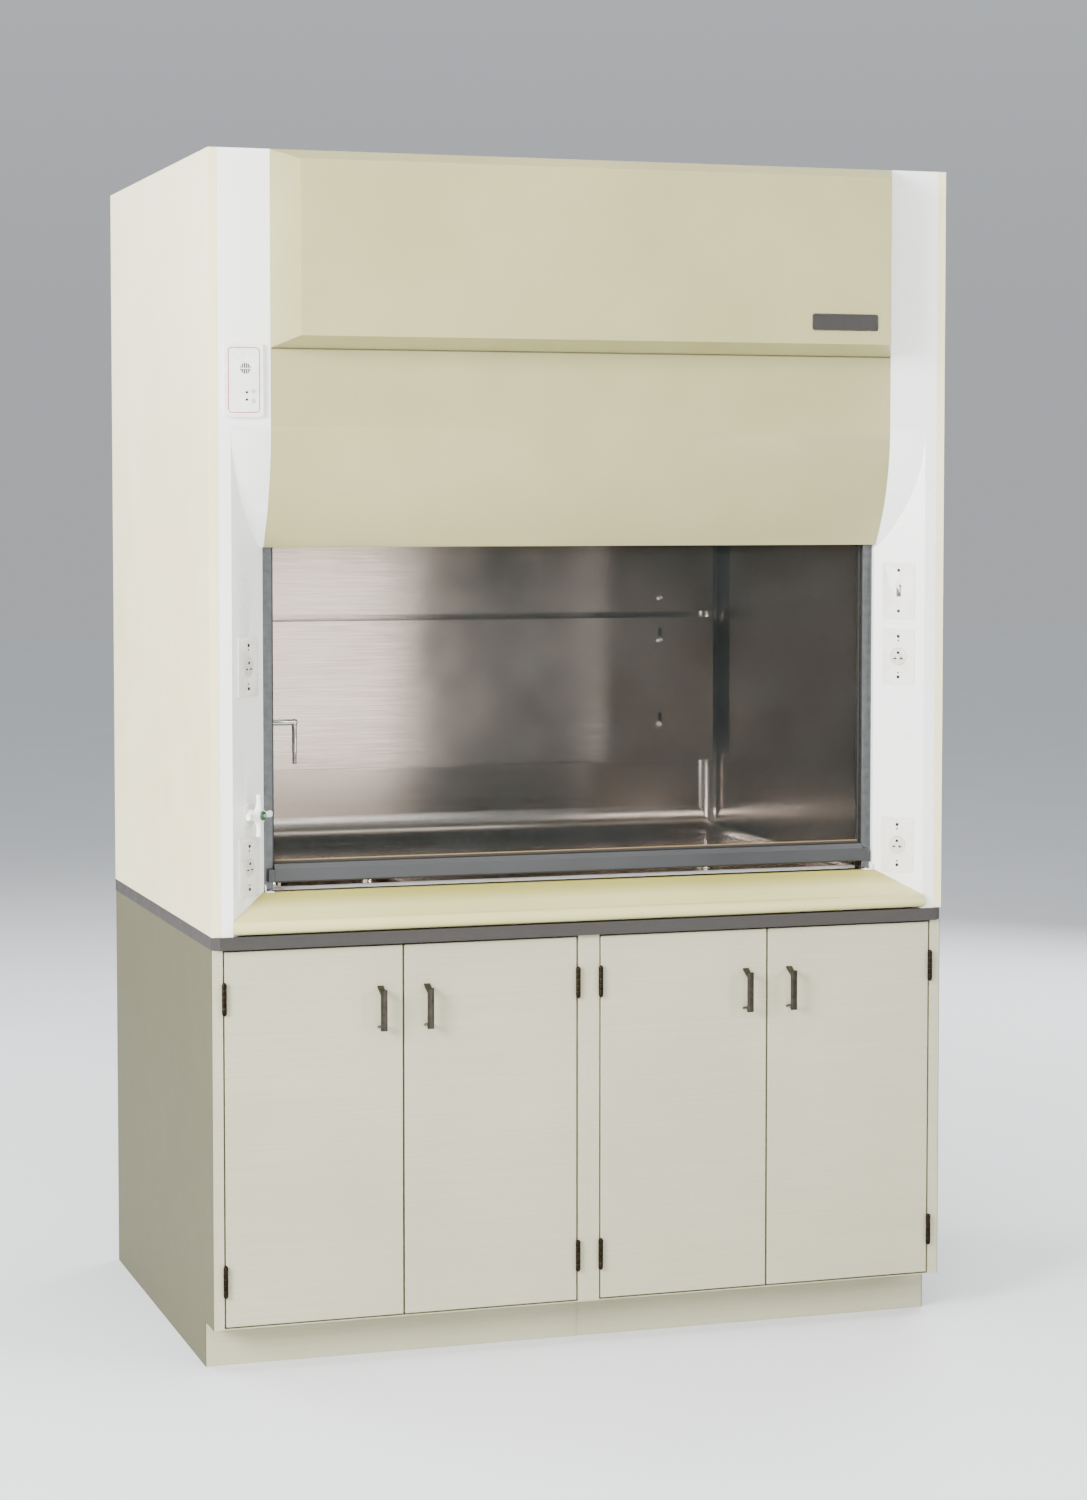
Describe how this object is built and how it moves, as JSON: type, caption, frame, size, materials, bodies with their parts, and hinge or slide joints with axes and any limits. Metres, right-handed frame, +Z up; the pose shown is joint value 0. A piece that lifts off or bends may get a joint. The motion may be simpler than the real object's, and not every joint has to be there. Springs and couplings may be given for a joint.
{
  "type": "fume hood",
  "caption": "Bench fume hood with a counterbalanced vertical glass sash, airfoil sill, service fixtures on bevelled posts and a pair of two-door steel base cabinets.",
  "frame": {"origin": "on the floor under the middle of the bounding box", "axes": "+X to the right of a person at the sash, -Y towards that person, +Z up"},
  "size_m": [1.524, 1.103, 2.392],
  "materials": {
    "ivory_enamel": "baked powder coat, satin",
    "white_enamel": "baked powder coat, semi-gloss",
    "sage_enamel": "baked powder coat, satin",
    "sill_enamel": "baked powder coat, satin",
    "plate_film": "dark engraved laminate, blank",
    "slab_resin": "cast epoxy resin, satin",
    "stainless": "brushed stainless steel",
    "bright_steel": "polished steel",
    "track_alloy": "anodised aluminium",
    "rail_enamel": "powder-coated aluminium extrusion, satin",
    "sash_glass": "clear laminated glass",
    "light_glass": "frosted light window",
    "tube_glass": "white phosphor-coated glass",
    "housing_enamel": "white reflector enamel",
    "zinc_steel": "zinc-plated steel",
    "weight_steel": "grey primer on steel bar",
    "plate_plastic": "moulded thermoset, ivory white",
    "device_plastic": "moulded nylon",
    "alarm_plastic": "moulded ABS, white",
    "button_plastic": "grey moulded button",
    "valve_enamel": "white moulded nylon handle",
    "index_green": "green colour-index button",
    "putty_enamel": "baked powder coat, fine orange peel",
    "dark_bronze": "bronze-plated steel hinges",
    "pull_metal": "satin nickel over zinc"
  },
  "bodies": {
    "hood": {"side_panel_left": "ivory_enamel", "side_panel_right": "ivory_enamel", "rear_panel": "ivory_enamel", "rear_access_panel": "ivory_enamel", "roof_panel": "ivory_enamel", "exhaust_collar": "stainless", "corner_post_left": "white_enamel", "corner_post_right": "white_enamel", "header_upper_panel": "sage_enamel", "header_lower_panel": "sage_enamel", "name_plate": "plate_film", "liner_side_left": "stainless", "liner_side_right": "stainless", "liner_rear": "stainless", "liner_ceiling": "stainless", "baffle_upper": "stainless", "baffle_studs": "bright_steel", "work_surface": "stainless", "sink_bowl": "stainless", "sink_drain": "bright_steel", "worktop_slab": "slab_resin", "airfoil_sill": "sill_enamel", "sash_tracks": "track_alloy", "light_housing": "housing_enamel", "light_tubes": "tube_glass", "light_window": "light_glass", "pulley_brackets": "zinc_steel", "sash_cables": "zinc_steel", "cover_plates": "plate_plastic", "wiring_devices": "device_plastic", "plate_screws": "bright_steel", "alarm_case": "alarm_plastic", "valve_body": "bright_steel", "water_spout": "bright_steel", "cabinet_left": "putty_enamel", "cabinet_right": "putty_enamel", "cabinet_shelves": "putty_enamel", "toe_boards": "putty_enamel", "hinge_frames": "dark_bronze"},
    "sash": {"sash_glass": "sash_glass", "sash_frame": "track_alloy", "sash_rail": "rail_enamel"},
    "counterweight": {"counterweight": "weight_steel"},
    "front_pulley_shaft": {"front_pulleys": "zinc_steel"},
    "rear_pulley_shaft": {"rear_pulleys": "zinc_steel"},
    "lower_baffle": {"baffle_lower": "stainless"},
    "light_switch": {"switch_lever": "plate_plastic"},
    "water_valve": {"valve_handle": "valve_enamel", "valve_index": "index_green"},
    "test_button": {"alarm_button_test": "button_plastic"},
    "mute_button": {"alarm_button_mute": "button_plastic"},
    "door_1": {"door_1_panel": "putty_enamel", "door_1_fittings": "pull_metal"},
    "door_2": {"door_2_panel": "putty_enamel", "door_2_fittings": "pull_metal"},
    "door_3": {"door_3_panel": "putty_enamel", "door_3_fittings": "pull_metal"},
    "door_4": {"door_4_panel": "putty_enamel", "door_4_fittings": "pull_metal"}
  },
  "joints": [
    {"name": "sash_slide", "type": "slide", "parent": "hood", "child": "sash", "axis": [0, 0, 1], "range_m": [-0.012, 0.61], "deforming": ["sash_cables"]},
    {"name": "counterweight_slide", "type": "slide", "parent": "hood", "child": "counterweight", "axis": [0, 0, 1], "range_m": [-0.611, 0.013]},
    {"name": "front_pulley_spin", "type": "hinge", "parent": "hood", "child": "front_pulley_shaft", "pos_m": [0, -0.3365, 2.298], "axis": [-1, 0, 0], "range_deg": [-30, 1402]},
    {"name": "rear_pulley_spin", "type": "hinge", "parent": "hood", "child": "rear_pulley_shaft", "pos_m": [0, 0.4885, 2.298], "axis": [-1, 0, 0], "range_deg": [-30, 1402]},
    {"name": "door_1_hinge", "type": "hinge", "parent": "hood", "child": "door_1", "pos_m": [-0.73825, -0.4637, 0.0935], "axis": [0, 0, -1], "range_deg": [0, 160]},
    {"name": "door_2_hinge", "type": "hinge", "parent": "hood", "child": "door_2", "pos_m": [-0.02375, -0.4637, 0.0935], "axis": [0, 0, 1], "range_deg": [0, 160]},
    {"name": "door_3_hinge", "type": "hinge", "parent": "hood", "child": "door_3", "pos_m": [0.02375, -0.4637, 0.0935], "axis": [0, 0, 1], "range_deg": [-160, 0]},
    {"name": "door_4_hinge", "type": "hinge", "parent": "hood", "child": "door_4", "pos_m": [0.73825, -0.4637, 0.0935], "axis": [0, 0, -1], "range_deg": [-160, 0]},
    {"name": "switch_rocker", "type": "hinge", "parent": "hood", "child": "light_switch", "pos_m": [0.68807, -0.41843, 1.501], "axis": [0.7071, -0.7071, 0], "range_deg": [0, 50]},
    {"name": "valve_turn", "type": "hinge", "parent": "hood", "child": "water_valve", "pos_m": [-0.66403, -0.44247, 1.081], "axis": [-0.7071, 0.7071, 0], "range_deg": [0, 540]},
    {"name": "test_press", "type": "slide", "parent": "hood", "child": "test_button", "axis": [0, 1, 0], "range_m": [0, 0.001], "stiffness_N_per_m": 400, "springref_m": -0.0005},
    {"name": "mute_press", "type": "slide", "parent": "hood", "child": "mute_button", "axis": [0, 1, 0], "range_m": [0, 0.001], "stiffness_N_per_m": 400, "springref_m": -0.0005},
    {"name": "lower_baffle_slide", "type": "slide", "parent": "hood", "child": "lower_baffle", "axis": [0, 0, 1], "range_m": [-0.022, 0]}
  ],
  "couplings": [
    {"joint": "counterweight_slide", "follows": "sash_slide", "ratio": -1},
    {"joint": "front_pulley_spin", "follows": "sash_slide", "rad_per_m": 40},
    {"joint": "rear_pulley_spin", "follows": "sash_slide", "rad_per_m": 40}
  ]
}
